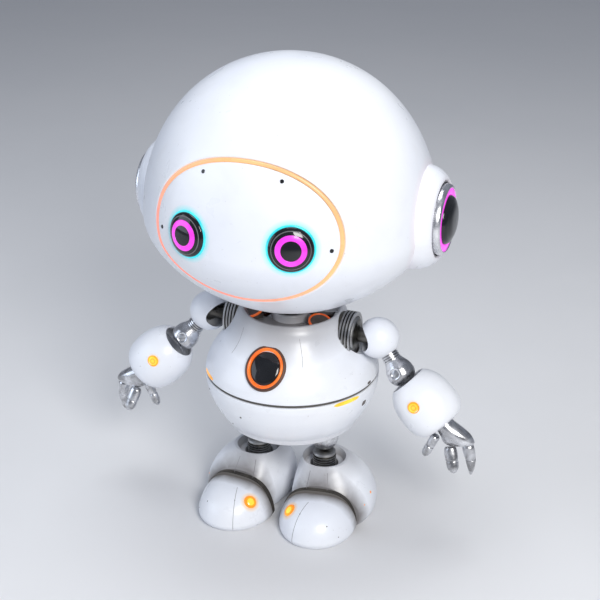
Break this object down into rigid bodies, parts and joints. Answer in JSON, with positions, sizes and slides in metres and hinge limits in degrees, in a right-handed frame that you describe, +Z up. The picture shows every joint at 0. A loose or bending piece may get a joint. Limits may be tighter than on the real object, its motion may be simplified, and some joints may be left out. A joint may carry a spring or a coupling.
{
  "type": "humanoid robot kit",
  "caption": "Small white standing robot with a big round head, domed eyes, pear-shaped body, jointed arms with metal hands, and wide boots.",
  "frame": {"origin": "on the ground, under the middle of the standing robot", "axes": "+Z up, the robot faces -Y and its left side is +X"},
  "size_m": [0.2468, 0.1733, 0.3],
  "materials": {
    "white_shell": "gloss moulded shell with faint handling marks",
    "peach_light": "thin translucent light line",
    "cyan_light": "translucent light ring",
    "magenta_light": "translucent light ring",
    "orange_light": "translucent light ring",
    "yellow_light": "translucent light window",
    "black_lens": "polished black dome",
    "worn_metal": "worn polished metal with dark grime in its hollows",
    "dark_metal": "dark ribbed metal",
    "dark_rubber": "matt ribbed rubber",
    "inner_plastic": "plain dark moulding inside the shells"
  },
  "bodies": {
    "torso": {"torso_upper_shell": "white_shell", "torso_lower_shell": "white_shell", "waist_gasket": "dark_rubber", "chest_light_ring": "orange_light", "chest_lens": "black_lens", "neck_collar": "worn_metal", "torso_frame": "inner_plastic", "neck_servo": "inner_plastic", "battery_pack": "inner_plastic", "control_board": "inner_plastic"},
    "neck": {"neck_post": "dark_metal"},
    "head": {"head_shell": "white_shell", "rear_head_cover": "white_shell", "face_plate": "white_shell", "face_light_ring": "peach_light", "head_bracket": "inner_plastic", "eye_lens_left": "black_lens", "eye_iris_ring_left": "magenta_light", "eye_glow_ring_left": "cyan_light", "ear_housing_left": "white_shell", "ear_bezel_left": "worn_metal", "ear_light_ring_left": "magenta_light", "ear_lens_left": "black_lens", "eye_lens_right": "black_lens", "eye_iris_ring_right": "magenta_light", "eye_glow_ring_right": "cyan_light", "ear_housing_right": "white_shell", "ear_bezel_right": "worn_metal", "ear_light_ring_right": "magenta_light", "ear_lens_right": "black_lens"},
    "shoulder_left": {"shoulder_mount_left": "dark_metal"},
    "upper_arm_left": {"shoulder_ball_left": "white_shell", "upper_arm_left": "worn_metal"},
    "forearm_left": {"forearm_shell_left": "white_shell", "forearm_light_left": "yellow_light"},
    "hand_left": {"palm_left": "worn_metal"},
    "thumb_left": {"thumb_left": "worn_metal"},
    "finger_front_left": {"finger_front_left": "worn_metal"},
    "finger_rear_left": {"finger_rear_left": "worn_metal"},
    "leg_left": {"hip_ball_left": "worn_metal", "ankle_post_left": "dark_metal"},
    "foot_left": {"boot_shell_left": "white_shell", "toe_cap_left": "white_shell", "boot_bellows_left": "dark_rubber", "foot_light_left": "yellow_light"},
    "shoulder_right": {"shoulder_mount_right": "dark_metal"},
    "upper_arm_right": {"shoulder_ball_right": "white_shell", "upper_arm_right": "worn_metal"},
    "forearm_right": {"forearm_shell_right": "white_shell", "forearm_light_right": "yellow_light"},
    "hand_right": {"palm_right": "worn_metal"},
    "thumb_right": {"thumb_right": "worn_metal"},
    "finger_front_right": {"finger_front_right": "worn_metal"},
    "finger_rear_right": {"finger_rear_right": "worn_metal"},
    "leg_right": {"hip_ball_right": "worn_metal", "ankle_post_right": "dark_metal"},
    "foot_right": {"boot_shell_right": "white_shell", "toe_cap_right": "white_shell", "boot_bellows_right": "dark_rubber", "foot_light_right": "yellow_light"}
  },
  "joints": [
    {"name": "neck_pan", "type": "hinge", "parent": "torso", "child": "neck", "pos_m": [0, 0, 0.14], "axis": [0, 0, 1], "range_deg": [-70, 70]},
    {"name": "neck_tilt", "type": "hinge", "parent": "neck", "child": "head", "pos_m": [0, 0, 0.146], "axis": [1, 0, 0], "range_deg": [-12, 12]},
    {"name": "shoulder_swing_left", "type": "hinge", "parent": "torso", "child": "shoulder_left", "pos_m": [0.0568, 0.003, 0.1274], "axis": [-1, 0, 0], "range_deg": [-50, 90]},
    {"name": "shoulder_sweep_left", "type": "hinge", "parent": "shoulder_left", "child": "upper_arm_left", "pos_m": [0.0568, 0.003, 0.1274], "axis": [0, 0, 1], "range_deg": [-40, 10]},
    {"name": "elbow_left", "type": "hinge", "parent": "upper_arm_left", "child": "forearm_left", "pos_m": [0.0729, -0.001, 0.1081], "axis": [0, -1, 0], "range_deg": [-24, 50]},
    {"name": "wrist_twist_left", "type": "hinge", "parent": "forearm_left", "child": "hand_left", "pos_m": [0.102, -0.0045, 0.0805], "axis": [0.7169, -0.086, -0.6919], "range_deg": [-90, 90]},
    {"name": "thumb_curl_left", "type": "hinge", "parent": "hand_left", "child": "thumb_left", "pos_m": [0.09736, -0.00784, 0.06967], "axis": [-1, 0, 0], "range_deg": [-5, 30]},
    {"name": "finger_front_curl_left", "type": "hinge", "parent": "hand_left", "child": "finger_front_left", "pos_m": [0.10834, -0.00788, 0.06349], "axis": [-1, 0, 0], "range_deg": [-5, 30]},
    {"name": "finger_rear_curl_left", "type": "hinge", "parent": "hand_left", "child": "finger_rear_left", "pos_m": [0.11832, -0.004, 0.06524], "axis": [-1, 0, 0], "range_deg": [-5, 30]},
    {"name": "hip_left", "type": "hinge", "parent": "torso", "child": "leg_left", "pos_m": [0.0229, 0.0005, 0.052], "axis": [-1, 0, 0], "range_deg": [-18, 25]},
    {"name": "ankle_left", "type": "hinge", "parent": "leg_left", "child": "foot_left", "pos_m": [0.0229, 0.0005, 0.0335], "axis": [1, 0, 0], "range_deg": [-15, 15]},
    {"name": "shoulder_swing_right", "type": "hinge", "parent": "torso", "child": "shoulder_right", "pos_m": [-0.0568, 0.003, 0.1274], "axis": [-1, 0, 0], "range_deg": [-50, 90]},
    {"name": "shoulder_sweep_right", "type": "hinge", "parent": "shoulder_right", "child": "upper_arm_right", "pos_m": [-0.0568, 0.003, 0.1274], "axis": [0, 0, -1], "range_deg": [-40, 10]},
    {"name": "elbow_right", "type": "hinge", "parent": "upper_arm_right", "child": "forearm_right", "pos_m": [-0.0729, -0.001, 0.1081], "axis": [0, 1, 0], "range_deg": [-24, 50]},
    {"name": "wrist_twist_right", "type": "hinge", "parent": "forearm_right", "child": "hand_right", "pos_m": [-0.102, -0.0045, 0.0805], "axis": [0.7169, 0.086, 0.6919], "range_deg": [-90, 90]},
    {"name": "thumb_curl_right", "type": "hinge", "parent": "hand_right", "child": "thumb_right", "pos_m": [-0.09736, -0.00784, 0.06967], "axis": [-1, 0, 0], "range_deg": [-5, 30]},
    {"name": "finger_front_curl_right", "type": "hinge", "parent": "hand_right", "child": "finger_front_right", "pos_m": [-0.10834, -0.00788, 0.06349], "axis": [-1, 0, 0], "range_deg": [-5, 30]},
    {"name": "finger_rear_curl_right", "type": "hinge", "parent": "hand_right", "child": "finger_rear_right", "pos_m": [-0.11832, -0.004, 0.06524], "axis": [-1, 0, 0], "range_deg": [-5, 30]},
    {"name": "hip_right", "type": "hinge", "parent": "torso", "child": "leg_right", "pos_m": [-0.0229, 0.0005, 0.052], "axis": [-1, 0, 0], "range_deg": [-18, 25]},
    {"name": "ankle_right", "type": "hinge", "parent": "leg_right", "child": "foot_right", "pos_m": [-0.0229, 0.0005, 0.0335], "axis": [1, 0, 0], "range_deg": [-15, 15]}
  ],
  "couplings": [
    {"joint": "finger_front_curl_left", "follows": "thumb_curl_left", "ratio": 1},
    {"joint": "finger_rear_curl_left", "follows": "thumb_curl_left", "ratio": 1},
    {"joint": "finger_front_curl_right", "follows": "thumb_curl_right", "ratio": 1},
    {"joint": "finger_rear_curl_right", "follows": "thumb_curl_right", "ratio": 1}
  ]
}
